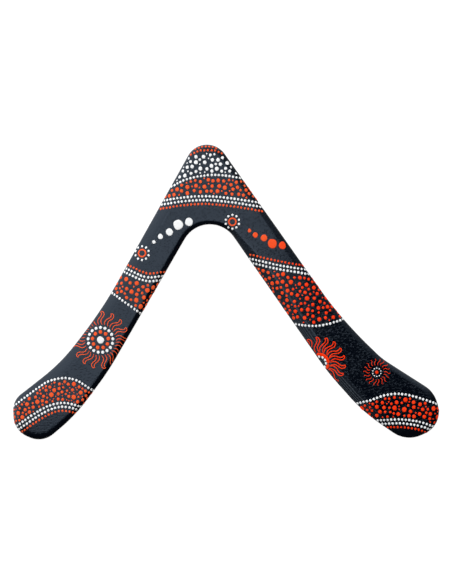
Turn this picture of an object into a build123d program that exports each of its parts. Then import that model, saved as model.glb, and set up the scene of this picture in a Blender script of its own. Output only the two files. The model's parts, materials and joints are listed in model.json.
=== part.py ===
from build123d import *

import math
import os
from dataclasses import astuple, dataclass

# Right-handed returning boomerang, carved from seven-ply plywood and painted.
#
# Frame: millimetres. It lies flat on its underside, with its painted, shaped face up (+Z).
# +X is along the line through the two tips and +Y points from the tips to the elbow.
# The origin is the centre of the footprint, at the underside.
#
# The blank is a stack of seven glued veneers. Its outline is a polygon with rounded corners.
# Every veneer is a loft between level contours of the carved blank, so the stack carries the
# aerofoil: a steep round-over on the leading edges and a long bevel on the trailing edges.
# The base coat is a thin skin over the top and the edges, and the underside is left bare.

FACE_VENEER = 1.0  # thickness of the face and back veneers
INNER_VENEER = 1.2  # thickness of each veneer between them
COAT = 0.3  # base coat, brushed on in layers

NOSE_RADIUS = 20.0  # outside of the elbow
CROTCH_RADIUS = 27.5  # inside of the elbow


@dataclass(frozen=True)
class Arm:
    """One arm. Runs are edge lengths between corners, and turns are in degrees, outwards."""

    side: int  # -1 for the arm towards -X, 1 for the arm towards +X
    angle: float  # of the shank's outer edge from -Y
    root_width: float  # of the shank at the elbow
    knee_width: float  # of the shank where it starts to sweep out
    shank: float  # outer edge, from the nose corner to the first turn
    outer_runs: tuple  # outer edge after the shank: to the knee, then to the tip
    outer_turns: tuple
    outer_radii: tuple
    inner_short: float  # how much shorter the shank's inner edge is
    inner_runs: tuple
    inner_turns: tuple
    inner_radii: tuple
    tip_bulge: float  # how far the end corner stands out past the other two
    tip_skew: float  # and how far it lies towards the inner edge
    tip_radii: tuple  # outer, end and inner corners of the tip


LEFT = Arm(
    side=-1,
    angle=29.2,
    root_width=35.5,
    knee_width=32.8,
    shank=196.5,
    outer_runs=(64.5, 57.0),
    outer_turns=(8.4, 14.5),
    outer_radii=(430.0, 178.0),
    inner_short=9.0,
    inner_runs=(51.0, 40.0),
    inner_turns=(6.8, 12.8),
    inner_radii=(232.0, 168.0),
    tip_bulge=15.2,
    tip_skew=-0.6,
    tip_radii=(18.5, 23.0, 22.5),
)
RIGHT = Arm(
    side=1,
    angle=35.2,
    root_width=37.1,
    knee_width=38.5,
    shank=222.0,
    outer_runs=(53.5, 57.5),
    outer_turns=(10.9, 11.4),
    outer_radii=(398.0, 70.0),
    inner_short=23.3,
    inner_runs=(49.0, 50.0),
    inner_turns=(7.0, 13.4),
    inner_radii=(240.0, 157.0),
    tip_bulge=22.4,
    tip_skew=-4.1,
    tip_radii=(28.5, 24.0, 29.0),
)


@dataclass(frozen=True)
class Bevel:
    """How an edge is carved. The crown exponents are 2 for a round nose, towards 1 for a flat bevel."""

    width: float  # from the edge to the flat top
    edge: float  # height of the square part of the edge
    foot: float  # exponent that shapes the bevel near the edge
    brow: float  # exponent that shapes it where it meets the top


LEADING = Bevel(width=4.8, edge=2.4, foot=2.0, brow=2.0)
TRAILING = Bevel(width=10.0, edge=1.8, foot=1.25, brow=1.35)
TIP = Bevel(width=6.5, edge=2.2, foot=1.7, brow=1.8)
NOSE = Bevel(width=4.5, edge=3.0, foot=2.0, brow=2.0)
CROTCH = Bevel(width=4.0, edge=3.0, foot=2.0, brow=2.0)
UNDER_ROUND = 0.8  # sanded round on the lower edge
ELBOW_BLEND = 70.0  # length of edge over which the elbow's bevel becomes the arm's
TIP_BLEND = 22.0  # length of edge before a tip, over which the bevel becomes the tip's

STEP = 4.0  # between outline samples
ARC_STEP = 9.0  # degrees between outline samples on a rounded corner
CROWN_STEPS = 14  # contours over the height of a round nose
FIT = 0.9  # share of a run that the two corner rounds on it may take up
ROUND_STEPS = 4  # contours over the lower round
LEVEL_GAP = 0.02  # least height between two contours

VENEERS = (
    ("back_veneer", FACE_VENEER),
    ("lower_crossband", INNER_VENEER),
    ("lower_core_veneer", INNER_VENEER),
    ("centre_crossband", INNER_VENEER),
    ("upper_core_veneer", INNER_VENEER),
    ("upper_crossband", INNER_VENEER),
    ("face_veneer", FACE_VENEER),
)
THICKNESS = sum(thick for _, thick in VENEERS)


def along(arm, angle):
    """Unit vector down an arm, at this angle from -Y."""
    return Vector(arm.side * math.sin(math.radians(angle)), -math.cos(math.radians(angle)))


def inward(arm, angle):
    """Unit vector from an arm's outer edge towards its inner edge."""
    return Vector(-arm.side * math.cos(math.radians(angle)), -math.sin(math.radians(angle)))


def chain(arm, start, angle, runs, turns):
    """Corners of one edge: a run from start, then each turn outwards and the run after it."""
    corners = []
    for run, turn in zip(runs, (*turns, 0.0)):
        start = start + along(arm, angle) * run
        corners.append(start)
        angle += turn
    return corners


def crotch_corner():
    """The nose corner is (0, 0). This is where each arm is as far from its outer edge as its root width."""
    left, right = inward(LEFT, LEFT.angle), inward(RIGHT, RIGHT.angle)
    spread = left.X * right.Y - left.Y * right.X
    x = (LEFT.root_width * right.Y - RIGHT.root_width * left.Y) / spread
    y = (RIGHT.root_width * left.X - LEFT.root_width * right.X) / spread
    return Vector(x, y)


def arm_corners(arm, crotch):
    """An arm's seven corners and their radii, from the outer edge round the tip to the inner edge."""
    outer = chain(arm, Vector(0, 0), arm.angle, (arm.shank, *arm.outer_runs), arm.outer_turns)
    inner_shank = arm.shank - arm.inner_short
    taper = math.degrees(math.asin((arm.root_width - arm.knee_width) / inner_shank))
    inner = chain(arm, crotch, arm.angle + taper, (inner_shank, *arm.inner_runs), arm.inner_turns)
    across = (inner[-1] - outer[-1]).normalized()
    middle = (inner[-1] + outer[-1]) / 2
    outwards = Vector(0, 0, arm.side).cross(across)
    end = middle + outwards * arm.tip_bulge + across * arm.tip_skew
    points = [*outer, end, *reversed(inner)]
    radii = [*arm.outer_radii, *arm.tip_radii, *reversed(arm.inner_radii)]
    return points, radii


def fitting_radii(points, radii):
    """Radii that leave room for each other: no two rounds take up more than their share of a run."""
    count = len(points)
    slopes = []
    for i, point in enumerate(points):
        turn = (point - points[i - 1]).get_angle(points[(i + 1) % count] - point)
        slopes.append(math.tan(math.radians(turn) / 2))
    scale = [1.0] * count
    for i in range(count):
        j = (i + 1) % count
        room = FIT * (points[j] - points[i]).length
        used = radii[i] * slopes[i] + radii[j] * slopes[j]
        for k in (i, j):
            scale[k] = min(scale[k], room / used)
    return [radius * share for radius, share in zip(radii, scale)]


def outline():
    """The blank's outline, clockwise from above, centred on its footprint, and its named corners."""
    crotch = crotch_corner()
    right, right_radii = arm_corners(RIGHT, crotch)
    left, left_radii = arm_corners(LEFT, crotch)
    points = [Vector(0, 0), *right, crotch, *reversed(left)]
    radii = [NOSE_RADIUS, *right_radii, CROTCH_RADIUS, *reversed(left_radii)]
    wire = FilletPolyline(*points, radius=fitting_radii(points, radii), close=True)
    centre = wire.bounding_box().center()
    corners = {
        "nose": points[0],
        "right_tip_outer": right[2],
        "right_tip_end": right[3],
        "right_tip_inner": right[4],
        "crotch": crotch,
        "left_tip_inner": left[4],
        "left_tip_end": left[3],
        "left_tip_outer": left[2],
    }
    return wire.moved(Location(-centre)), {name: p - centre for name, p in corners.items()}


@dataclass(frozen=True)
class Station:
    """A point on the outline."""

    place: Vector
    inwards: Vector
    run: float  # distance along the outline from its first point
    joint: bool  # whether one edge of the outline ends here and the next begins


def stations(wire):
    """Points along the outline: evenly spaced on straight stretches, and closer on tight rounds."""
    found, run = [], 0.0
    for edge in wire.order_edges():
        count = math.ceil(edge.length / STEP)
        if edge.geom_type == GeomType.CIRCLE:
            sweep = math.degrees(edge.length / edge.radius)
            count = max(count, math.ceil(sweep / ARC_STEP))
        for i in range(count):
            share = i / count
            inwards = (edge % share).rotate(Axis.Z, -90)
            found.append(Station(edge @ share, inwards, run + share * edge.length, i == 0))
        run += edge.length
    return found, run


def bevel_knots(found, corners):
    """Where along the outline each bevel holds. Between two knots, one bevel turns into the next."""

    def run_at(name, shift=0.0):
        return min(found, key=lambda s: (s.place - corners[name]).length).run + shift

    return [
        (run_at("nose"), NOSE),
        (run_at("nose", ELBOW_BLEND), LEADING),
        (run_at("right_tip_outer", -TIP_BLEND), LEADING),
        (run_at("right_tip_end"), TIP),
        (run_at("right_tip_inner", TIP_BLEND), TRAILING),
        (run_at("crotch", -ELBOW_BLEND), TRAILING),
        (run_at("crotch"), CROTCH),
        (run_at("crotch", ELBOW_BLEND), LEADING),
        (run_at("left_tip_inner", -TIP_BLEND), LEADING),
        (run_at("left_tip_end"), TIP),
        (run_at("left_tip_outer", TIP_BLEND), TRAILING),
        (run_at("nose", -ELBOW_BLEND), TRAILING),
    ]


def bevel_at(run, knots, length):
    """The bevel at this distance along the outline."""
    ordered = sorted((knot_run % length, bevel) for knot_run, bevel in knots)
    ordered = [(ordered[-1][0] - length, ordered[-1][1]), *ordered, (ordered[0][0] + length, ordered[0][1])]
    for (start, before), (end, after) in zip(ordered, ordered[1:]):
        if start <= run <= end:
            share = (run - start) / (end - start)
            share = share * share * (3 - 2 * share)
            return Bevel(*(a + (b - a) * share for a, b in zip(astuple(before), astuple(after))))


def inset(bevel, z, skin):
    """How far inside the outline the carved surface is at this height. A skin moves it outwards."""
    if z < UNDER_ROUND:
        reach = UNDER_ROUND + skin
        return reach - math.sqrt(reach**2 - (UNDER_ROUND - z) ** 2) - skin
    if z <= bevel.edge:
        return -skin
    rise = (z - bevel.edge) / (THICKNESS + skin - bevel.edge)
    return (bevel.width + skin) * (1 - (1 - rise**bevel.foot) ** (1 / bevel.brow)) - skin


def heights(bottom, top, crown):
    """Contour heights from bottom to top, closest together at the lower round and at the crown."""
    quarter = math.pi / 2
    lower = [UNDER_ROUND * (1 - math.cos(quarter * i / ROUND_STEPS)) for i in range(ROUND_STEPS + 1)]
    upper = [crown * math.sin(quarter * i / CROWN_STEPS) for i in range(CROWN_STEPS)]
    levels = [bottom]
    for z in sorted([*lower, *(z for z in upper if z > UNDER_ROUND)]):
        if levels[-1] + LEVEL_GAP <= z <= top - LEVEL_GAP:
            levels.append(z)
    return [*levels, top]


class Blank:
    """The carved outline, from which every layer is lofted."""

    def __init__(self):
        wire, corners = outline()
        self.stations, self.length = stations(wire)
        knots = bevel_knots(self.stations, corners)
        self.bevels = [bevel_at(s.run, knots, self.length) for s in self.stations]

    def contour(self, z, skin):
        """The level contour at this height, one smooth edge for each edge of the outline."""
        points = [
            s.place + s.inwards * inset(bevel, z, skin) + Vector(0, 0, z)
            for s, bevel in zip(self.stations, self.bevels)
        ]
        count = len(points)
        runs = [s.run for s in self.stations] + [self.length]
        joints = [i for i, s in enumerate(self.stations) if s.joint] + [count]
        edges = []
        for first, last in zip(joints, joints[1:]):
            stretch = [points[i % count] for i in range(first, last + 1)]
            tangents = [points[(i + 1) % count] - points[i - 1] for i in (first, last % count)]
            shares = [(run - runs[first]) / (runs[last] - runs[first]) for run in runs[first : last + 1]]
            edges.append(Edge.make_spline(stretch, tangents=tangents, parameters=shares))
        return Wire(edges)

    def layer(self, bottom, top, skin=0.0):
        """The carved solid between two heights."""
        crown = THICKNESS + skin
        return Solid.make_loft([self.contour(z, skin) for z in heights(bottom, top, crown)])

    def coat(self, veneers):
        """The skin over the stacked veneers: their sides and top, the same further out, and a rim."""
        shell = self.layer(0.0, THICKNESS + COAT, skin=COAT)
        faces = [face for layer in (shell, *veneers) for face in layer.faces().filter_by(GeomType.BSPLINE)]
        tops = [layer.faces().sort_by(Axis.Z)[-1] for layer in (shell, veneers[-1])]
        rim = Face(self.contour(0.0, COAT), [self.contour(0.0, 0.0)])
        return Solid(Shell([*faces, *tops, rim]))


def build():
    """Every layer of the boomerang, by name."""
    blank = Blank()
    layers = {}
    bottom = 0.0
    for name, thickness in VENEERS:
        top = bottom + thickness
        layers[name] = blank.layer(bottom, top)
        bottom = top
    layers["base_coat"] = blank.coat(list(layers.values()))
    return layers


if __name__ == "__main__":
    os.makedirs("parts", exist_ok=True)
    for part_name, solid in build().items():
        solid.label = part_name
        export_step(solid, f"parts/{part_name}.step")
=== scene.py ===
import json
import math
import random

import bmesh
import bpy
import numpy as np
from mathutils import Matrix, Vector, noise
from mathutils.bvhtree import BVHTree

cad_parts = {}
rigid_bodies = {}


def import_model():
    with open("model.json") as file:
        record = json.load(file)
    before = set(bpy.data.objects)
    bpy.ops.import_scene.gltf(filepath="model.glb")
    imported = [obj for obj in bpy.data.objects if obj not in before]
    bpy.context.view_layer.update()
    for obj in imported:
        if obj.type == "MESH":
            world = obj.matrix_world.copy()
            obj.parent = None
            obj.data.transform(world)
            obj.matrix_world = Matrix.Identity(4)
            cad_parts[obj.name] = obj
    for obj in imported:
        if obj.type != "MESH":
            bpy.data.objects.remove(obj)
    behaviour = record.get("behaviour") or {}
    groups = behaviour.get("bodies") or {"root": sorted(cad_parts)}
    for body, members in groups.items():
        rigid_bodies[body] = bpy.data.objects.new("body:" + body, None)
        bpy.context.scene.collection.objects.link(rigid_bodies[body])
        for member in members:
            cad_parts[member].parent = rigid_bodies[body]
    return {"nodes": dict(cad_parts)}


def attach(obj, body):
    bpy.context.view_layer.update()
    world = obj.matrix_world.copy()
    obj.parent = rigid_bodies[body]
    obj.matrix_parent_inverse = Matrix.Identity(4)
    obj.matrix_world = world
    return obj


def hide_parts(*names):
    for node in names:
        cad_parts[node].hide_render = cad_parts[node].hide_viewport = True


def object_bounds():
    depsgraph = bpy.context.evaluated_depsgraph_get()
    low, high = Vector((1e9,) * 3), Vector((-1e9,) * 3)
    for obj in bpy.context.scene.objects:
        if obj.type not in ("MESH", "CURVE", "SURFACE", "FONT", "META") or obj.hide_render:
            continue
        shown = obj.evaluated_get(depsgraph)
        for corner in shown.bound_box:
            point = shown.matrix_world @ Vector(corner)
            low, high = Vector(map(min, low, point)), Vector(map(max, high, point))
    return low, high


mm = 0.001

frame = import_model()
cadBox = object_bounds()
bpy.ops.object.select_all(action="DESELECT")
print("frame loaded:", len(frame["nodes"]), "nodes")


# studio: camera straight above, pale floor, and a tent of soft light that darkens to the lower right

studio = {
    "cameraHeight": 2.4,
    "viewHeight": 0.5471,  # what the camera takes in at the painted face, along Y
    "floorSize": 6.0,
    "floorDrop": 0.0002,
    "floorColour": (0.20, 0.20, 0.20),
    "floorGlow": 0.93,
}
tent = {
    "bright": 1.15,
    "dark": 0.02,
    "towards": 130.0,  # degrees from +X to the bright side
    "fadeStart": -0.36,
    "fadeEnd": 0.90,
    "openFrom": 0.93,  # the top of the tent is open round the camera
    "openTo": 0.985,
    "colour": (0.93, 0.97, 1.0),
}
lamps = {
    # a large soft wall of light that shapes the paint, and a low panel that puts the sheen on it
    "wallLight": {
        "place": (0.0, 0.75, 1.90),
        "size": (3.2, 2.2),
        "power": 44.0,
        "colour": (1.0, 0.985, 0.96),
        "turn": None,  # it faces the middle of the floor
        "sheen": False,
    },
    "sheenPanel": {
        "place": (-0.135, 0.028, 0.60),
        "size": (0.40, 0.44),
        "power": 0.55,
        "colour": (0.93, 0.97, 1.0),
        "turn": 163.0,
        "sheen": True,
    },
}


def addLamp(name, lampMake):
    lamp = bpy.data.lights.new(name, "AREA")
    lamp.shape = "RECTANGLE"
    lamp.size, lamp.size_y = lampMake["size"]
    lamp.energy = lampMake["power"]
    lamp.color = lampMake["colour"]
    holder = bpy.data.objects.new(name, lamp)
    holder.location = lampMake["place"]
    if lampMake["turn"] is None:
        holder.rotation_euler = (-Vector(lampMake["place"])).to_track_quat("-Z", "Y").to_euler()
    else:
        holder.rotation_euler = (0, 0, math.radians(lampMake["turn"]))
    holder.visible_camera = False
    holder.visible_glossy = lampMake["sheen"]
    holder.visible_diffuse = not lampMake["sheen"]
    bpy.context.scene.collection.objects.link(holder)


def addTent():
    world = bpy.data.worlds.new("lightTent")
    world.use_nodes = True
    tree = world.node_tree
    sky = tree.nodes["Background"]
    sky.inputs["Color"].default_value = (*tent["colour"], 1)
    place = tree.nodes.new("ShaderNodeTexCoord")
    slope = tree.nodes.new("ShaderNodeVectorMath")
    slope.operation = "DOT_PRODUCT"
    towards = math.radians(tent["towards"])
    slope.inputs[1].default_value = (math.cos(towards), math.sin(towards), 0.0)
    tree.links.new(place.outputs["Generated"], slope.inputs[0])
    fade = mapRange(
        tree, slope.outputs["Value"], tent["fadeStart"], tent["fadeEnd"], tent["dark"], tent["bright"]
    )
    height = tree.nodes.new("ShaderNodeSeparateXYZ")
    tree.links.new(place.outputs["Generated"], height.inputs[0])
    roof = mapRange(tree, height.outputs["Z"], tent["openFrom"], tent["openTo"], 1.0, tent["dark"])
    tree.links.new(mathNode(tree, "MULTIPLY", fade, roof), sky.inputs["Strength"])
    bpy.context.scene.world = world


def clearFromBelow(paper, shader):
    # the floor is clear from below, so that the resting face can be looked at
    tree = paper.node_tree
    side = tree.nodes.new("ShaderNodeNewGeometry")
    clear = tree.nodes.new("ShaderNodeBsdfTransparent")
    mix = tree.nodes.new("ShaderNodeMixShader")
    tree.links.new(side.outputs["Backfacing"], mix.inputs["Fac"])
    tree.links.new(shader.outputs["BSDF"], mix.inputs[1])
    tree.links.new(clear.outputs["BSDF"], mix.inputs[2])
    tree.links.new(mix.outputs["Shader"], tree.nodes["Material Output"].inputs["Surface"])


def buildStudio():
    scene = bpy.context.scene
    scene.view_settings.view_transform = "Standard"
    top = cadBox[1].z
    lens = bpy.data.cameras.new("overheadCamera")
    lens.sensor_width = 36.0
    lens.lens = lens.sensor_width * (studio["cameraHeight"] - top) / studio["viewHeight"]
    camera = bpy.data.objects.new("overheadCamera", lens)
    camera.location = (0.0, 0.0, studio["cameraHeight"])
    scene.collection.objects.link(camera)
    scene.camera = camera

    bpy.ops.mesh.primitive_plane_add(size=studio["floorSize"], location=(0, 0, -studio["floorDrop"]))
    floor = bpy.context.object
    floor.name = "floor"
    paper = bpy.data.materials.new("paleFloor")
    paper.use_nodes = True
    shader = paper.node_tree.nodes["Principled BSDF"]
    shader.inputs["Base Color"].default_value = (*studio["floorColour"], 1)
    shader.inputs["Roughness"].default_value = 0.9
    shader.inputs["Specular IOR Level"].default_value = 0.0
    shader.inputs["Emission Color"].default_value = (1, 1, 1, 1)
    shader.inputs["Emission Strength"].default_value = studio["floorGlow"]
    clearFromBelow(paper, shader)
    floor.data.materials.append(paper)
    floor.visible_glossy = False  # so that the carved edges stay dark
    floor.select_set(False)

    addTent()
    for name, lampMake in lamps.items():
        addLamp(name, lampMake)


# shader groups shared by the finishes

def newGroup(name, inputs, outputs):
    group = bpy.data.node_groups.new(name, "ShaderNodeTree")
    for label, kind, value in inputs:
        socket = group.interface.new_socket(label, in_out="INPUT", socket_type=kind)
        if value is not None:
            socket.default_value = value
    for label, kind in outputs:
        group.interface.new_socket(label, in_out="OUTPUT", socket_type=kind)
    return group, group.nodes.new("NodeGroupInput"), group.nodes.new("NodeGroupOutput")


def mathNode(tree, operation, first, second=None, clamp=False):
    node = tree.nodes.new("ShaderNodeMath")
    node.operation = operation
    node.use_clamp = clamp
    for socket, value in zip(node.inputs, (first, second)):
        if value is None:
            continue
        if isinstance(value, (int, float)):
            socket.default_value = value
        else:
            tree.links.new(value, socket)
    return node.outputs[0]


def mapRange(tree, value, low, high, toLow=0.0, toHigh=1.0, smooth=True):
    node = tree.nodes.new("ShaderNodeMapRange")
    node.interpolation_type = "SMOOTHSTEP" if smooth else "LINEAR"
    tree.links.new(value, node.inputs["Value"])
    for label, amount in (("From Min", low), ("From Max", high), ("To Min", toLow), ("To Max", toHigh)):
        if isinstance(amount, (int, float)):
            node.inputs[label].default_value = amount
        else:
            tree.links.new(amount, node.inputs[label])
    return node.outputs["Result"]


def noiseNode(tree, vector, scale, detail=3.0, roughness=0.55, distortion=0.0):
    node = tree.nodes.new("ShaderNodeTexNoise")
    tree.links.new(vector, node.inputs["Vector"])
    settings = {"Scale": scale, "Detail": detail, "Roughness": roughness, "Distortion": distortion}
    for label, amount in settings.items():
        if isinstance(amount, (int, float)):
            node.inputs[label].default_value = amount
        else:
            tree.links.new(amount, node.inputs[label])
    return node.outputs["Fac"]


def stretched(tree, vector, scale, rotation=(0, 0, 0)):
    node = tree.nodes.new("ShaderNodeMapping")
    node.inputs["Scale"].default_value = scale
    node.inputs["Rotation"].default_value = rotation
    tree.links.new(vector, node.inputs["Vector"])
    return node.outputs["Vector"]


def mixColour(tree, factor, first, second):
    node = tree.nodes.new("ShaderNodeMix")
    node.data_type = "RGBA"
    for label, value in (("Factor", factor), ("A", first), ("B", second)):
        socket = node.inputs[label]
        if isinstance(value, (int, float)):
            socket.default_value = value
        elif isinstance(value, tuple):
            socket.default_value = (*value, 1.0)
        else:
            tree.links.new(value, socket)
    return node.outputs["Result"]


buildStudio()
print("studio built")


grainMake = {
    "poreScale": (500.0, 800.0, 800.0),  # the grain runs along X
    "poreFrom": 0.52,
    "poreTo": 0.68,
    "figureScale": (7.0, 60.0, 60.0),
    "figureTwist": 0.6,
}
brushMake = {
    "ridgeScale": (90.0, 900.0, 900.0),
    "blotchScale": 55.0,
}


def makeGrainGroup():
    group, given, result = newGroup(
        "woodGrain",
        [("Vector", "NodeSocketVector", None), ("Fineness", "NodeSocketFloat", 1.0)],
        [("Pores", "NodeSocketFloat"), ("Figure", "NodeSocketFloat")],
    )
    scaled = group.nodes.new("ShaderNodeVectorMath")
    scaled.operation = "SCALE"
    group.links.new(given.outputs["Vector"], scaled.inputs[0])
    group.links.new(given.outputs["Fineness"], scaled.inputs["Scale"])
    along = stretched(group, scaled.outputs[0], grainMake["poreScale"])
    fine = noiseNode(group, along, 1.0, detail=2.0, roughness=0.6)
    pores = mapRange(group, fine, grainMake["poreFrom"], grainMake["poreTo"])
    broad = stretched(group, scaled.outputs[0], grainMake["figureScale"])
    figure = noiseNode(group, broad, 1.0, detail=4.0, roughness=0.5, distortion=grainMake["figureTwist"])
    group.links.new(pores, result.inputs["Pores"])
    group.links.new(figure, result.inputs["Figure"])
    return group


def makeBrushGroup():
    group, given, result = newGroup(
        "brushMarks",
        [("Vector", "NodeSocketVector", None), ("Fineness", "NodeSocketFloat", 1.0)],
        [("Ridges", "NodeSocketFloat"), ("Blotches", "NodeSocketFloat")],
    )
    scaled = group.nodes.new("ShaderNodeVectorMath")
    scaled.operation = "SCALE"
    group.links.new(given.outputs["Vector"], scaled.inputs[0])
    group.links.new(given.outputs["Fineness"], scaled.inputs["Scale"])
    swept = stretched(group, scaled.outputs[0], brushMake["ridgeScale"])
    ridges = noiseNode(group, swept, 1.0, detail=3.0)
    blotches = noiseNode(group, scaled.outputs[0], brushMake["blotchScale"], detail=3.0)
    group.links.new(ridges, result.inputs["Ridges"])
    group.links.new(blotches, result.inputs["Blotches"])
    return group


grainGroup = makeGrainGroup()
brushGroup = makeBrushGroup()


def newFinish(name, roughness):
    finish = bpy.data.materials.new(name)
    finish.use_nodes = True
    shader = finish.node_tree.nodes["Principled BSDF"]
    shader.inputs["Roughness"].default_value = roughness
    return finish, finish.node_tree, shader


def objectPoint(tree):
    return tree.nodes.new("ShaderNodeTexCoord").outputs["Object"]


def useGroup(tree, group, vector, fineness=1.0):
    node = tree.nodes.new("ShaderNodeGroup")
    node.node_tree = group
    tree.links.new(vector, node.inputs["Vector"])
    node.inputs["Fineness"].default_value = fineness
    return node.outputs


def addBump(tree, shader, height, strength, distance):
    bump = tree.nodes.new("ShaderNodeBump")
    bump.inputs["Strength"].default_value = strength
    bump.inputs["Distance"].default_value = distance
    tree.links.new(height, bump.inputs["Height"])
    tree.links.new(bump.outputs["Normal"], shader.inputs["Normal"])


# timber

timber = {
    "faceLight": (0.72, 0.50, 0.28),
    "faceDark": (0.50, 0.30, 0.14),
    "crossLight": (0.42, 0.26, 0.13),
    "crossDark": (0.28, 0.16, 0.08),
    "poreColour": (0.27, 0.15, 0.07),
    "lacquerRoughness": 0.34,
    "rawRoughness": 0.68,
    "poreRoughness": 0.14,  # how much duller the pores are
    "poreShade": 0.45,
    "poreDepth": 0.00008,
    "ringScale": (2.2, 16.0, 16.0),
    "rings": {"Scale": 2.4, "Distortion": 5.0, "Detail": 3.0, "Detail Scale": 1.2},
}


def makeTimber(name, light, dark, turned, roughness):
    finish, tree, shader = newFinish(name, roughness)
    point = objectPoint(tree)
    if turned:  # crossbands run across the span
        point = stretched(tree, point, (1, 1, 1), (0, 0, math.pi / 2))
    grain = useGroup(tree, grainGroup, point)
    rings = tree.nodes.new("ShaderNodeTexWave")
    rings.wave_type = "RINGS"
    rings.rings_direction = "Z"
    for label, amount in timber["rings"].items():
        rings.inputs[label].default_value = amount
    tree.links.new(stretched(tree, point, timber["ringScale"]), rings.inputs["Vector"])
    figure = mathNode(tree, "ADD", mathNode(tree, "MULTIPLY", rings.outputs["Fac"], 0.55), grain["Figure"])
    colour = mixColour(tree, mapRange(tree, figure, 0.35, 1.15), light, dark)
    shaded = mathNode(tree, "MULTIPLY", grain["Pores"], timber["poreShade"])
    colour = mixColour(tree, shaded, colour, timber["poreColour"])
    tree.links.new(colour, shader.inputs["Base Color"])
    rough = mapRange(tree, grain["Pores"], 0, 1, roughness, roughness + timber["poreRoughness"])
    tree.links.new(rough, shader.inputs["Roughness"])
    addBump(tree, shader, grain["Pores"], 0.25, -timber["poreDepth"])
    return finish


def dressPlies():
    along = (timber["faceLight"], timber["faceDark"], False)
    across = (timber["crossLight"], timber["crossDark"], True)
    lacquered = makeTimber("lacqueredTimber", *along, timber["lacquerRoughness"])
    core = makeTimber("coreTimber", *along, timber["rawRoughness"])
    cross = makeTimber("crossTimber", *across, timber["rawRoughness"])
    for ply, finish in (
        ("back_veneer", lacquered),
        ("lower_crossband", cross),
        ("lower_core_veneer", core),
        ("centre_crossband", cross),
        ("upper_core_veneer", core),
        ("upper_crossband", cross),
        ("face_veneer", core),
    ):
        frame["nodes"][ply].data.materials.clear()
        frame["nodes"][ply].data.materials.append(finish)


dressPlies()
print("plies dressed")


# black base coat: one closed skin over the top and the edges

coatMake = {
    "voxel": 0.0010,
    "bottomReach": 0.003,  # how far the closed form is drawn down before it is remeshed
    "smoothing": 5,
    "lastSmoothing": 2,
    "waver": 0.00007,  # hand-sanded unevenness
    "waverSize": 0.022,
    "rim": 0.00012,  # height of the coat's lower edge
    "wall": 0.00022,
    "colour": (0.0008, 0.0018, 0.0045),
    "thinColour": (0.0028, 0.0040, 0.0070),
    "plyColour": (0.040, 0.048, 0.058),
    "roughness": 0.10,
    "blotchRoughness": 0.12,  # how much duller the blotches and the pores are
    "poreRoughness": 0.08,
    "gloss": 0.8,
    "glossTint": (0.66, 0.80, 1.0),
    "relief": 0.00014,
    "poreShare": 0.6,  # of the relief, as are the brush marks
    "brushShare": 0.5,
    "plyLines": (0.0022, 0.0034, 0.0046, 0.0058, 0.0070),  # heights of the glue lines
    "plyLineEdge": (0.00008, 0.00030),
    "plyLinesStart": (0.03, 0.10),  # where along X they come in, and go out again
    "plyLinesStop": (0.125, 0.155),
    "plyLinesInside": (0.035, 0.060),  # X plus Y, which is least on the inner edge
}


def onlySelect(thing):
    bpy.ops.object.select_all(action="DESELECT")
    thing.select_set(True)
    bpy.context.view_layer.objects.active = thing


def applyModifier(thing, kind, **settings):
    onlySelect(thing)
    modifier = thing.modifiers.new(kind, kind)
    for label, value in settings.items():
        setattr(modifier, label, value)
    bpy.ops.object.modifier_apply(modifier=modifier.name)


def copyOf(thing, name):
    twin = thing.copy()
    twin.data = thing.data.copy()
    twin.name = name
    twin.parent = None
    twin.matrix_world = Matrix.Identity(4)
    for key in list(twin.keys()):
        del twin[key]
    bpy.context.scene.collection.objects.link(twin)
    return twin


def pickFaces(thing, wanted):
    # selects the faces whose centre and normal pass the test, with nothing else selected
    bpy.ops.mesh.select_all(action="DESELECT")
    shape = bmesh.from_edit_mesh(thing.data)
    for face in shape.faces:
        if wanted(face.calc_center_median(), face.normal):
            face.select_set(True)
    bmesh.update_edit_mesh(thing.data)


def outerSkin():
    # the coat's outside, from the CAD coat without its rim and its inner wall
    skin = copyOf(frame["nodes"]["base_coat"], "outerSkin")
    onlySelect(skin)
    bpy.ops.object.mode_set(mode="EDIT")
    bpy.ops.mesh.select_all(action="SELECT")
    bpy.ops.mesh.remove_doubles(threshold=0.000004)
    pickFaces(skin, lambda centre, normal: centre.z < 0.00001 and normal.z < -0.9)
    bpy.ops.mesh.delete(type="FACE")
    shape = bmesh.from_edit_mesh(skin.data)
    topmost = max(shape.verts, key=lambda v: v.co.z)
    bpy.ops.mesh.select_all(action="DESELECT")
    bpy.ops.mesh.select_mode(type="VERT")
    topmost.select_set(True)
    bmesh.update_edit_mesh(skin.data)
    bpy.ops.mesh.select_linked(delimit=set())
    bpy.ops.mesh.select_all(action="INVERT")
    bpy.ops.mesh.delete(type="VERT")
    bpy.ops.object.mode_set(mode="OBJECT")
    return skin


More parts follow.
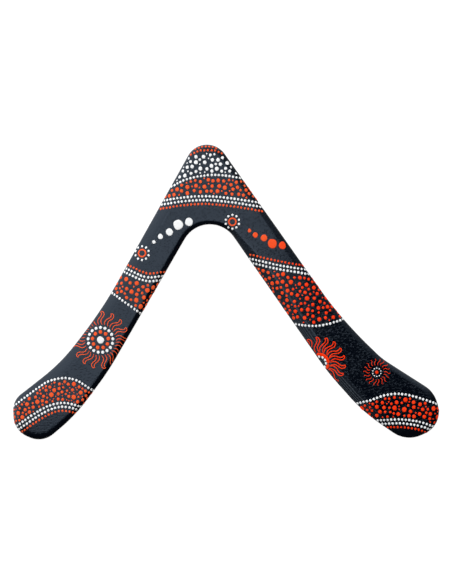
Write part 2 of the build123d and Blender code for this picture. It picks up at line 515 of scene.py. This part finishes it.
def buildCoat():
    guide = outerSkin()
    form = copyOf(guide, "coatForm")
    onlySelect(form)
    bpy.ops.object.mode_set(mode="EDIT")
    bpy.ops.mesh.select_mode(type="EDGE")
    bpy.ops.mesh.select_all(action="DESELECT")
    bpy.ops.mesh.select_non_manifold()
    bpy.ops.mesh.extrude_region_move(
        TRANSFORM_OT_translate={"value": (0, 0, -coatMake["bottomReach"])}
    )
    bpy.ops.mesh.fill()
    bpy.ops.mesh.select_all(action="SELECT")
    bpy.ops.mesh.normals_make_consistent(inside=False)
    bpy.ops.object.mode_set(mode="OBJECT")
    applyModifier(form, "REMESH", mode="VOXEL", voxel_size=coatMake["voxel"], adaptivity=0.0)
    applyModifier(form, "SMOOTH", factor=0.5, iterations=coatMake["smoothing"])

    onlySelect(form)
    bpy.ops.object.mode_set(mode="EDIT")
    bpy.ops.mesh.select_all(action="SELECT")
    bpy.ops.mesh.bisect(
        plane_co=(0, 0, coatMake["rim"]), plane_no=(0, 0, 1), clear_inner=True, clear_outer=False
    )
    bpy.ops.object.mode_set(mode="OBJECT")
    applyModifier(form, "SHRINKWRAP", wrap_method="NEAREST_SURFACEPOINT", target=guide)
    applyModifier(form, "SMOOTH", factor=0.4, iterations=coatMake["lastSmoothing"])
    swayed = [
        v.co + v.normal * noise.noise(v.co / coatMake["waverSize"]) * coatMake["waver"]
        for v in form.data.vertices
    ]
    form.data.vertices.foreach_set("co", [c for place in swayed for c in place])
    form.data.update()
    bpy.data.objects.remove(guide)
    form.name = "painted_coat"
    form.data.name = "painted_coat"
    return form


def plyRidges(tree, point):
    # glue lines that show faintly through the paint where the bevel crosses them
    height = tree.nodes.new("ShaderNodeSeparateXYZ")
    tree.links.new(point, height.inputs[0])
    total = None
    for level in coatMake["plyLines"]:
        away = mathNode(tree, "ABSOLUTE", mathNode(tree, "SUBTRACT", height.outputs["Z"], level))
        line = mapRange(tree, away, *coatMake["plyLineEdge"], 1.0, 0.0)
        total = line if total is None else mathNode(tree, "ADD", total, line)
    # the paint is thinnest over the long bevel inside the right arm
    inward = mathNode(tree, "ADD", height.outputs["X"], height.outputs["Y"])
    for value, reach, first, last in (
        (height.outputs["X"], coatMake["plyLinesStart"], 0.0, 1.0),
        (height.outputs["X"], coatMake["plyLinesStop"], 1.0, 0.0),
        (inward, coatMake["plyLinesInside"], 1.0, 0.0),
    ):
        total = mathNode(tree, "MULTIPLY", total, mapRange(tree, value, *reach, first, last))
    return total


def makeCoatFinish():
    finish, tree, shader = newFinish("blackAcrylic", coatMake["roughness"])
    point = objectPoint(tree)
    grain = useGroup(tree, grainGroup, point, 0.8)
    brush = useGroup(tree, brushGroup, point, 1.0)
    ridges = plyRidges(tree, point)
    thin = mathNode(tree, "MULTIPLY", grain["Pores"], mapRange(tree, brush["Blotches"], 0.35, 0.7))
    colour = mixColour(tree, thin, coatMake["colour"], coatMake["thinColour"])
    colour = mixColour(tree, ridges, colour, coatMake["plyColour"])
    tree.links.new(colour, shader.inputs["Base Color"])
    blotched = mathNode(tree, "MULTIPLY", brush["Blotches"], coatMake["blotchRoughness"])
    pored = mathNode(tree, "MULTIPLY", grain["Pores"], coatMake["poreRoughness"])
    rough = mathNode(tree, "ADD", mathNode(tree, "ADD", coatMake["roughness"], blotched), pored)
    tree.links.new(rough, shader.inputs["Roughness"])
    sunk = mathNode(tree, "MULTIPLY", grain["Pores"], -coatMake["poreShare"])
    raised = mathNode(tree, "MULTIPLY", brush["Ridges"], coatMake["brushShare"])
    height = mathNode(tree, "ADD", mathNode(tree, "ADD", sunk, raised), ridges)
    shader.inputs["Specular IOR Level"].default_value = coatMake["gloss"]
    shader.inputs["Specular Tint"].default_value = (*coatMake["glossTint"], 1)
    addBump(tree, shader, height, 1.0, coatMake["relief"])
    return finish


coat = buildCoat()
coatTree = BVHTree.FromObject(coat, bpy.context.evaluated_depsgraph_get())
applyModifier(coat, "SOLIDIFY", thickness=coatMake["wall"], offset=-1.0)
coat.data.materials.clear()
coat.data.materials.append(makeCoatFinish())
onlySelect(coat)
bpy.ops.object.shade_smooth_by_angle(angle=math.radians(50))
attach(coat, "root")
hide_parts("base_coat")
print("coat built:", len(coat.data.polygons), "faces")


# white and orange dotting paint

# each paint's first colour is its tone on the left with painted sheen on it; the second, deeper colour is
# its tone on the right with painted shade
paints = {
    "white": {
        "colour": (0.92, 0.93, 0.94),
        "shadedColour": (0.88, 0.90, 0.92),
        "roughness": 0.28,
        "gloss": 0.3,
    },
    "orange": {
        "colour": (0.91, 0.118, 0.028),
        "shadedColour": (0.95, 0.033, 0.0),
        "roughness": 0.32,
        "gloss": 0.08,
    },
}
paintLook = {
    "mottle": 0.15,
    "blotchRoughness": 0.16,
    "brushStrength": 0.3,
    "brushDepth": 0.00006,
}


def makeDotFinish(name):
    paint = paints[name]
    finish, tree, shader = newFinish(name + "Acrylic", paint["roughness"])
    point = objectPoint(tree)
    brush = useGroup(tree, brushGroup, point, 2.2)
    # the attribute carries each dab's painted sheen and shade, with its random tone; the brush mottle
    # varies it further
    sheenAndTone = tree.nodes.new("ShaderNodeAttribute")
    sheenAndTone.attribute_name = "dabSheenAndTone"
    mottle = mapRange(tree, brush["Ridges"], 0.3, 0.7, -paintLook["mottle"], paintLook["mottle"])
    sheenToneAndMottle = mathNode(tree, "ADD", sheenAndTone.outputs["Fac"], mottle, clamp=True)
    colour = mixColour(tree, sheenToneAndMottle, paint["colour"], paint["shadedColour"])
    tree.links.new(colour, shader.inputs["Base Color"])
    blotched = mathNode(tree, "MULTIPLY", brush["Blotches"], paintLook["blotchRoughness"])
    tree.links.new(mathNode(tree, "ADD", paint["roughness"], blotched), shader.inputs["Roughness"])
    shader.inputs["Specular IOR Level"].default_value = paint["gloss"]
    addBump(tree, shader, brush["Ridges"], paintLook["brushStrength"], paintLook["brushDepth"])
    return finish


dotFinish = {name: makeDotFinish(name) for name in paints}

dabMake = {
    "sunk": 0.00006,
    "reliefLow": 0.00014,
    "relief": 0.00011,  # more height for each millimetre of radius
    "reliefMost": 0.00042,
    "strokeRelief": 0.00022,
    "wrapReach": 0.0008,  # how far past the outline paint may be set, folded down the edge
    "wrapTop": 0.0046,
    "wrapFall": 1.1,  # how far down for each step out
    "lowest": 0.0024,
    "steepest": 0.05,  # least upward part of the coat's normal
    "lookFrom": 0.05,  # height from which a place on the coat is looked for
    "sheenFadeFrom": 0.02,  # painted sheen and shade: the dots' colour is paler towards the left and deeper towards the right, from here
    "sheenFadeTo": 0.08,
    "shadeSpread": 0.18,  # between one dab and the next
}


def dabPrototype(name, sides, rings):
    # a low round dome of radius 1 and height 1
    bpy.ops.object.select_all(action="DESELECT")
    bpy.ops.mesh.primitive_circle_add(vertices=sides, radius=1.0, fill_type="NGON")
    dab = bpy.context.object
    dab.name = name
    bpy.ops.object.mode_set(mode="EDIT")
    bpy.ops.mesh.select_all(action="SELECT")
    reached, height = 1.0, 0.0
    for radius, rise in rings:
        bpy.ops.mesh.extrude_region_move(TRANSFORM_OT_translate={"value": (0, 0, rise - height)})
        bpy.ops.transform.resize(value=(radius / reached, radius / reached, 1), center_override=(0, 0, 0))
        reached, height = radius, rise
    bpy.ops.mesh.poke()
    bpy.ops.mesh.select_all(action="SELECT")
    bpy.ops.mesh.normals_make_consistent(inside=False)
    bpy.ops.object.mode_set(mode="OBJECT")
    shape = ([v.co.copy() for v in dab.data.vertices], [tuple(p.vertices) for p in dab.data.polygons])
    bpy.data.objects.remove(dab)
    return shape


smallDab = dabPrototype("smallDab", 12, ((0.97, 0.45), (0.74, 0.86), (0.38, 1.0)))
largeDab = dabPrototype("largeDab", 28, ((0.985, 0.5), (0.90, 0.82), (0.70, 0.96), (0.35, 1.0)))


def surfaceAt(x, y):
    # where paint set at this place lies on the coat, and which way the coat faces there
    hit, normal, _, _ = coatTree.ray_cast(Vector((x, y, dabMake["lookFrom"])), Vector((0, 0, -1)))
    if hit is not None and hit.z > dabMake["lowest"] and normal.z > dabMake["steepest"]:
        return hit, normal
    near, normal, _, _ = coatTree.find_nearest(Vector((x, y, dabMake["wrapTop"])))
    past = math.hypot(near.x - x, near.y - y)
    if past > dabMake["wrapReach"]:
        return None
    low = dabMake["wrapTop"] - past * dabMake["wrapFall"]
    near, normal, _, _ = coatTree.find_nearest(Vector((near.x, near.y, low)))
    if near.z < dabMake["lowest"]:
        return None
    return near, normal


def tangents(normal):
    across = Vector((0, 1, 0)).cross(normal)
    across.normalize()
    return across, normal.cross(across)


class Paintwork:
    # gathers dabs and strokes of one paint, and becomes one piece
    def __init__(self, seed):
        self.points, self.faces, self.sheensAndTones = [], [], []
        self.random = random.Random(seed)

    def addShape(self, points, faces):
        start = len(self.points)
        self.points += points
        self.faces += [tuple(start + i for i in face) for face in faces]
        # painted sheen and shade: each dab is mixed from the paler left-hand colour towards the deeper
        # right-hand colour by its place along X, with a random tone of its own
        along = (points[0].x - dabMake["sheenFadeFrom"]) / (dabMake["sheenFadeTo"] - dabMake["sheenFadeFrom"])
        spread = dabMake["shadeSpread"]
        sheenAndTone = min(max(along, 0.0), 1.0) * (1 - spread) + self.random.random() * spread
        self.sheensAndTones += [sheenAndTone] * len(points)

    def dab(self, x, y, radius, large=False):
        found = surfaceAt(x, y)
        if found is None:
            return
        centre, normal = found
        across, upwards = tangents(normal)
        pick = self.random
        turn = pick.uniform(0, math.tau)
        wide, tall = radius * pick.uniform(0.94, 1.0), radius * pick.uniform(1.0, 1.08)
        lobes = [(pick.uniform(0, 0.035), pick.uniform(0, math.tau), k) for k in (2, 3, 4)]
        relief = min(dabMake["reliefLow"] + dabMake["relief"] * radius / mm, dabMake["reliefMost"])
        points = []
        shape = largeDab if large else smallDab
        for v in shape[0]:
            angle = math.atan2(v.y, v.x) + turn
            swell = 1 + sum(size * math.cos(k * angle + phase) for size, phase, k in lobes)
            length = math.hypot(v.x, v.y) * swell
            flat = centre + across * (length * math.cos(angle) * wide) + upwards * (
                length * math.sin(angle) * tall)
            near, facing, _, _ = coatTree.find_nearest(flat)
            points.append(near + facing * (v.z * relief if v.z > 0.01 else -dabMake["sunk"]))
        self.addShape(points, shape[1])

    def stroke(self, path, width, closed=False):
        # a raised line along a path of places; it is broken where the path leaves the coat
        runs, run = [], []
        for x, y in path:
            found = surfaceAt(x, y)
            if found is None:
                if len(run) > 2:
                    runs.append(run)
                run = []
            else:
                run.append(found)
        whole = closed and not runs and len(run) == len(path)
        if len(run) > 2:
            runs.append(run)
        section = ((-0.5, None), (-0.42, 0.6), (-0.16, 1.0), (0.16, 1.0), (0.42, 0.6), (0.5, None))
        for run in runs:
            points, count = [], len(run)
            for i, (place, normal) in enumerate(run):
                before = run[i - 1][0] if i or whole else place
                after = run[(i + 1) % count][0] if i < count - 1 or whole else place
                ahead = (after - before).normalized()
                side = ahead.cross(normal).normalized()
                taper = 1.0
                if not whole:
                    taper = min(1.0, 0.45 + 0.3 * min(i, count - 1 - i))
                w = width * taper * (1 + 0.07 * math.sin(i * 1.7 + self.random.random()))
                for across, rise in section:
                    near, facing, _, _ = coatTree.find_nearest(place + side * (across * w))
                    lift = -dabMake["sunk"] if rise is None else rise * dabMake["strokeRelief"] * taper
                    points.append(near + facing * lift)
            size = len(section)
            faces = []
            for i in range(count if whole else count - 1):
                a, b = i * size, ((i + 1) % count) * size
                for k in range(size):
                    k2 = (k + 1) % size
                    faces.append((a + k, a + k2, b + k2, b + k))
            if not whole:
                faces.append(tuple(reversed(range(size))))
                faces.append(tuple(range((count - 1) * size, count * size)))
            self.addShape(points, faces)

    def finishPiece(self, name, paint):
        mesh = bpy.data.meshes.new(name)
        mesh.from_pydata(self.points, [], self.faces)
        # each dab's painted sheen and shade, with its random tone
        sheenAndTone = mesh.attributes.new("dabSheenAndTone", "FLOAT", "POINT")
        sheenAndTone.data.foreach_set("value", self.sheensAndTones)
        piece = bpy.data.objects.new(name, mesh)
        bpy.context.scene.collection.objects.link(piece)
        onlySelect(piece)
        bpy.ops.object.mode_set(mode="EDIT")
        bpy.ops.mesh.select_all(action="SELECT")
        bpy.ops.mesh.normals_make_consistent(inside=False)
        bpy.ops.object.mode_set(mode="OBJECT")
        bpy.ops.object.shade_smooth_by_angle(angle=math.radians(75))
        mesh.materials.append(dotFinish[paint])
        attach(piece, "root")


def curveThrough(points, samples=24, overrun=8.0, endSamples=20):
    # a smooth line through the points, in millimetres, drawn on past both ends
    ends = [2 * Vector(points[0]) - Vector(points[1]), *map(Vector, points),
            2 * Vector(points[-1]) - Vector(points[-2])]
    line = []
    for a, b, c, d in zip(ends, ends[1:], ends[2:], ends[3:]):
        for i in range(samples):
            t = i / samples
            line.append(0.5 * (2 * b + (c - a) * t + (2 * a - 5 * b + 4 * c - d) * t**2
                               + (3 * b - a - 3 * c + d) * t**3))
    line.append(ends[-2])
    first = (line[0] - line[1]).normalized() * overrun
    last = (line[-1] - line[-2]).normalized() * overrun
    head = [line[0] + first * (1 - i / endSamples) for i in range(endSamples)]
    tail = [line[-1] + last * ((i + 1) / endSamples) for i in range(endSamples)]
    return head + line + tail


def offsetLine(line, distance):
    # the same line moved to its right-hand side
    moved = []
    for i, point in enumerate(line):
        ahead = line[min(i + 1, len(line) - 1)] - line[max(i - 1, 0)]
        ahead.normalize()
        moved.append(point + Vector((ahead.y, -ahead.x)) * distance)
    return moved


# sizes of the rows, and of what is filled in between them, in millimetres
rowMake = {
    "radius": 1.18,
    "orangeRadius": 1.08,
    "pitch": 3.38,
    "spacing": 3.65,  # from one row to the next
    "clear": 1.75,  # from a row's middle to the dots beside it
    "tries": 1800,
    "jitter": 0.12,
    "step": 0.15,
}


def dotRow(work, line, radius):
    # dots at an even spacing over the surface, so that they close up where the edge falls away
    pitch, jitter = rowMake["pitch"], rowMake["jitter"]
    walked, last, nextDot = 0.0, None, pitch * 0.3
    for start, end in zip(line, line[1:]):
        pieces = max(1, round((end - start).length / rowMake["step"]))
        for i in range(pieces):
            spot = start.lerp(end, i / pieces)
            found = surfaceAt(spot.x * mm, spot.y * mm)
            if found is None:
                last = None
                continue
            if last is not None:
                walked += (found[0] - last).length / mm
            last = found[0]
            if walked >= nextDot:
                pick = work.random
                work.dab(
                    (spot.x + pick.uniform(-jitter, jitter)) * mm,
                    (spot.y + pick.uniform(-jitter, jitter)) * mm,
                    radius * pick.uniform(0.92, 1.06) * mm,
                )
                nextDot += pitch * pick.uniform(0.97, 1.03)


def circle(centre, radius, count, turn=0.0):
    return [
        Vector((centre[0] + radius * math.cos(turn + math.tau * i / count),
                centre[1] + radius * math.sin(turn + math.tau * i / count)))
        for i in range(count)
    ]


def insideLoop(loop, spot):
    inside = False
    for a, b in zip(loop, loop[1:] + loop[:1]):
        if (a.y > spot.y) != (b.y > spot.y):
            if spot.x < a.x + (spot.y - a.y) * (b.x - a.x) / (b.y - a.y):
                inside = not inside
    return inside


def fillDots(work, upper, lower, sizes, gap, clear, inset=None):
    # random dots between two lines, the largest first, kept clear of the lines and each other
    loop = upper[::4] + lower[::-4]
    rails = np.array([(p.x, p.y) for p in upper + lower])
    low, high = rails.min(axis=0), rails.max(axis=0)
    places, radii = np.empty((0, 3)), np.empty(0)
    pick = work.random
    for radius, most in sizes:
        count = 0
        for _ in range(rowMake["tries"]):
            r = radius * pick.uniform(0.92, 1.08)
            spot = Vector((pick.uniform(low[0], high[0]), pick.uniform(low[1], high[1])))
            if np.hypot(rails[:, 0] - spot.x, rails[:, 1] - spot.y).min() < clear + r:
                continue
            if not insideLoop(loop, spot):
                continue
            found = surfaceAt(spot.x * mm, spot.y * mm)
            if found is None:
                continue
            if inset is not None and any(
                surfaceAt(p.x * mm, p.y * mm) is None for p in circle(spot, r + inset, 8)
            ):
                continue
            place = np.array(found[0]) / mm
            if len(radii) and (np.linalg.norm(places - place, axis=1) - radii).min() < r + gap:
                continue
            places, radii = np.vstack((places, place)), np.append(radii, r)
            work.dab(spot.x * mm, spot.y * mm, r * mm)
            count += 1
            if count >= most:
                break
    return len(radii)


# bands of dots: a single row on one side, a double row and an orange row on the other

bands = {
    "nose_band": {
        "single": ((-49.2, 99.9), (-40.1, 104.3), (-30.3, 107.3), (-16.9, 109.4), (-3.6, 109.3),
                   (13.5, 106.9)),
        "multiple": ((-55.5, 86.3), (-42.5, 88.2), (-26.2, 89.6), (-9.2, 89.2), (10.7, 86.9),
                     (27.8, 84.1)),
        "side": 1,
        "sizes": ((1.95, 9), (1.6, 24), (1.25, 30), (0.85, 16)),
        "gap": 1.0,
        "seed": 11,
    },
    "left_band": {
        "single": ((-105.8, -1.7), (-94.1, -10.1), (-82.4, -18.5)),
        "multiple": ((-94.6, 18.4), (-87.2, 14.8), (-79.2, 11.4), (-71.3, 9.9), (-62.9, 10.8)),
        "side": -1,
        "sizes": ((2.1, 10), (1.6, 14), (1.25, 14), (0.9, 6)),
        "gap": 1.05,
        "seed": 12,
    },
    "left_tip_band": {
        "single": ((-196.5, -105.0), (-179.0, -91.9), (-166.4, -83.8), (-151.8, -80.7), (-139.6, -83.1),
                   (-125.9, -91.6)),
        "multiple": ((-195.7, -125.3), (-180.6, -114.9), (-167.7, -107.5), (-155.9, -104.1),
                     (-146.5, -104.6), (-137.2, -107.3)),
        "side": 1,
        "sizes": ((2.05, 9), (1.5, 30), (1.1, 40), (0.6, 26)),
        "gap": 0.85,
        "seed": 13,
    },
    "right_band": {
        "single": ((65.1, -30.3), (78.5, -31.8), (89.0, -31.3), (99.6, -28.9), (109.8, -25.3)),
        "multiple": ((28.1, 26.2), (48.0, 21.6), (76.0, 16.9)),
        "side": -1,
        "sizes": ((2.0, 14), (1.65, 36), (1.25, 40), (0.75, 20)),
        "gap": 1.15,
        "seed": 14,
    },
    "right_tip_band": {
        "single": ((122.9, -104.6), (136.3, -101.2), (146.3, -97.5), (156.9, -95.6), (167.6, -96.0),
                   (178.2, -98.5), (188.8, -101.8), (196.0, -104.4)),
        "multiple": ((144.2, -120.4), (152.1, -119.8), (162.4, -119.4), (173.4, -120.3), (183.7, -122.4),
                     (190.9, -124.9)),
        "side": 1,
        "sizes": ((2.3, 6), (1.75, 18), (1.25, 26), (0.75, 18)),
        "gap": 1.0,
        "seed": 15,
    },
}

def buildBand(name, band):
    single, multiple = curveThrough(band["single"]), curveThrough(band["multiple"])
    whites, oranges = Paintwork(band["seed"]), Paintwork(band["seed"] + 100)
    dotRow(whites, single, rowMake["radius"])
    dotRow(whites, multiple, rowMake["radius"])
    step = rowMake["spacing"] * band["side"]
    dotRow(whites, offsetLine(multiple, step), rowMake["radius"])
    dotRow(oranges, offsetLine(multiple, step * 2), rowMake["orangeRadius"])
    count = fillDots(oranges, single, multiple, band["sizes"], band["gap"], rowMake["clear"])
    whites.finishPiece(name + "_white_rows", "white")
    oranges.finishPiece(name + "_orange_dots", "orange")
    print(name, "filled with", count, "dots")


for bandName, band in bands.items():
    buildBand(bandName, band)


# nose: two orange rows round the end, and white dots below them

noseCap = {
    "rows": (
        ((-28.4, 134.1), (-23.6, 135.8), (-19.2, 136.3), (-13.5, 136.2), (-9.6, 135.0)),
        ((-32.6, 128.8), (-28.0, 131.2), (-22.8, 132.6), (-12.5, 132.7), (-8.0, 131.7), (-3.8, 130.0)),
    ),
    "overrun": 1.2,
    "inset": 1.0,  # how far the white dots stay inside the outline, with the wrap
    "sizes": ((1.8, 14), (1.5, 20), (1.2, 18), (0.75, 12)),
    "gap": 1.2,
    "clear": 2.0,
    "seed": 21,
}


def buildNoseCap():
    oranges, whites = Paintwork(noseCap["seed"]), Paintwork(noseCap["seed"] + 100)
    lines = [curveThrough(row, overrun=noseCap["overrun"]) for row in noseCap["rows"]]
    for line in lines:
        dotRow(oranges, line, rowMake["orangeRadius"])
    below = curveThrough(bands["nose_band"]["single"])
    fillDots(whites, lines[1], below, noseCap["sizes"], noseCap["gap"], noseCap["clear"], noseCap["inset"])
    oranges.finishPiece("nose_cap_orange_rows", "orange")
    whites.finishPiece("nose_cap_white_dots", "white")


buildNoseCap()
print("nose cap built")


# trails of growing dots on either side of the elbow

trails = {
    "white_trail": {
        "paint": "white",
        "dots": ((-67.5, 46.8, 1.7), (-61.4, 52.0, 2.5), (-53.0, 56.2, 3.4), (-44.8, 63.0, 4.6),
                 (-34.7, 65.6, 3.8)),
        "seed": 31,
    },
    "orange_trail": {
        "paint": "orange",
        "dots": ((22.0, 57.5, 1.7), (27.5, 53.4, 2.5), (35.6, 50.6, 3.2), (43.4, 45.3, 4.4),
                 (52.9, 43.7, 3.6)),
        "seed": 32,
    },
}
for trailName, trail in trails.items():
    work = Paintwork(trail["seed"])
    for x, y, radius in trail["dots"]:
        work.dab(x * mm, y * mm, radius * mm, large=True)
    work.finishPiece(trailName, trail["paint"])


def scaled(path):
    return [(p.x * mm, p.y * mm) for p in path]


# rosettes: an orange ring in a round of white dots

rosettes = {
    "left_rosette": {"centre": (-78.7, 36.4), "seed": 41},
    "right_rosette": {"centre": (6.0, 65.7), "seed": 42},
}
rosetteMake = {
    "ringRadius": 3.35,
    "ringWidth": 1.45,
    "ringSteps": 40,
    "dotRadius": 1.12,
    "dots": 10,
    "dotCircle": 6.45,
}


def buildRosette(name, rosette):
    ring, dots = Paintwork(rosette["seed"]), Paintwork(rosette["seed"] + 100)
    path = circle(rosette["centre"], rosetteMake["ringRadius"], rosetteMake["ringSteps"])
    ring.stroke(scaled(path), rosetteMake["ringWidth"] * mm, closed=True)
    for spot in circle(rosette["centre"], rosetteMake["dotCircle"], rosetteMake["dots"], math.pi / 2):
        dots.dab(spot.x * mm, spot.y * mm, rosetteMake["dotRadius"] * mm)
    ring.finishPiece(name + "_ring", "orange")
    dots.finishPiece(name + "_dots", "white")


for rosetteName, rosette in rosettes.items():
    buildRosette(rosetteName, rosette)
print("trails and rosettes built")


# suns: rounds of dots with wavy rays

suns = {
    "left_sun": {
        "centre": (-117.6, -45.0),
        "heart": ("white", 3.4),
        "rounds": (("orange", 7.5, 9, 1.75), ("white", 11.7, 17, 1.5)),
        "ring": None,
        "rays": 17,
        "rayFrom": 14.4,
        "rayTo": 26.4,
        "rayWidth": 2.9,
        "rayLine": 0.78,
        "wave": 1.9,
        "turn": 0.08,
        "seed": 51,
    },
    "right_sun": {
        "centre": (87.4, -67.0),
        "heart": None,
        "rounds": (("white", 6.4, 12, 1.25),),
        "ring": (8.5, 3.4),
        "rays": 18,
        "rayFrom": 10.3,
        "rayTo": 24.2,
        "rayWidth": 2.8,
        "rayLine": 1.0,
        "wave": 1.9,
        "turn": 0.30,
        "seed": 52,
    },
    "small_sun": {
        "centre": (141.3, -75.2),
        "heart": ("orange", 1.6),
        "rounds": (("white", 3.95, 10, 0.62),),
        "ring": None,
        "rays": 18,
        "rayFrom": 6.6,
        "rayTo": 12.6,
        "rayWidth": 0.0,
        "rayLine": 0.55,
        "wave": 1.05,
        "turn": 0.0,
        "seed": 53,
    },
}


# each ray sways more and narrows towards its end
rayMake = {
    "steps": 15,
    "turns": 0.9,
    "lead": 0.2,
    "swayStart": 0.5,
    "swayGain": 0.7,
    "widthStart": 1.10,
    "widthLoss": 0.25,
    "pointOut": 0.5,
}


def rayPath(sun, angle):
    # out along one side of a wavy ray, round its end, and back along the other
    ahead = Vector((math.cos(angle), math.sin(angle)))
    aside = Vector((-ahead.y, ahead.x))
    centre = Vector(sun["centre"])
    length = sun["rayTo"] - sun["rayFrom"]
    sides = []
    for half in (-0.5, 0.5) if sun["rayWidth"] else (0.0,):
        side = []
        for i in range(rayMake["steps"] + 1):
            t = i / rayMake["steps"]
            swing = math.sin(math.tau * rayMake["turns"] * t + rayMake["lead"])
            sway = sun["wave"] * swing * (rayMake["swayStart"] + rayMake["swayGain"] * t)
            width = sun["rayWidth"] * (rayMake["widthStart"] - rayMake["widthLoss"] * t)
            side.append(centre + ahead * (sun["rayFrom"] + length * t) + aside * (sway + half * width))
        sides.append(side)
    if len(sides) == 1:
        return sides[0]
    tip = (sides[0][-1] + sides[1][-1]) / 2 + ahead * rayMake["pointOut"]
    return sides[0] + [tip] + sides[1][::-1]


def buildSun(name, sun):
    works = {paint: Paintwork(sun["seed"] + i * 100) for i, paint in enumerate(paints)}
    if sun["heart"]:
        paint, radius = sun["heart"]
        works[paint].dab(sun["centre"][0] * mm, sun["centre"][1] * mm, radius * mm, large=radius > 2)
    for paint, distance, count, radius in sun["rounds"]:
        for spot in circle(sun["centre"], distance, count, math.pi / 2):
            works[paint].dab(spot.x * mm, spot.y * mm, radius * mm)
    rays = Paintwork(sun["seed"] + 500)
    if sun["ring"]:
        rays.stroke(scaled(circle(sun["centre"], sun["ring"][0], 72)), sun["ring"][1] * mm, closed=True)
    for i in range(sun["rays"]):
        angle = sun["turn"] + math.tau * (i + rays.random.uniform(-0.06, 0.06)) / sun["rays"]
        rays.stroke(scaled(rayPath(sun, angle)), sun["rayLine"] * mm)
    for paint, work in works.items():
        if work.points:
            work.finishPiece(f"{name}_{paint}_dots", paint)
    rays.finishPiece(name + "_rays", "orange")


for sunName, sun in suns.items():
    buildSun(sunName, sun)
print("suns built")
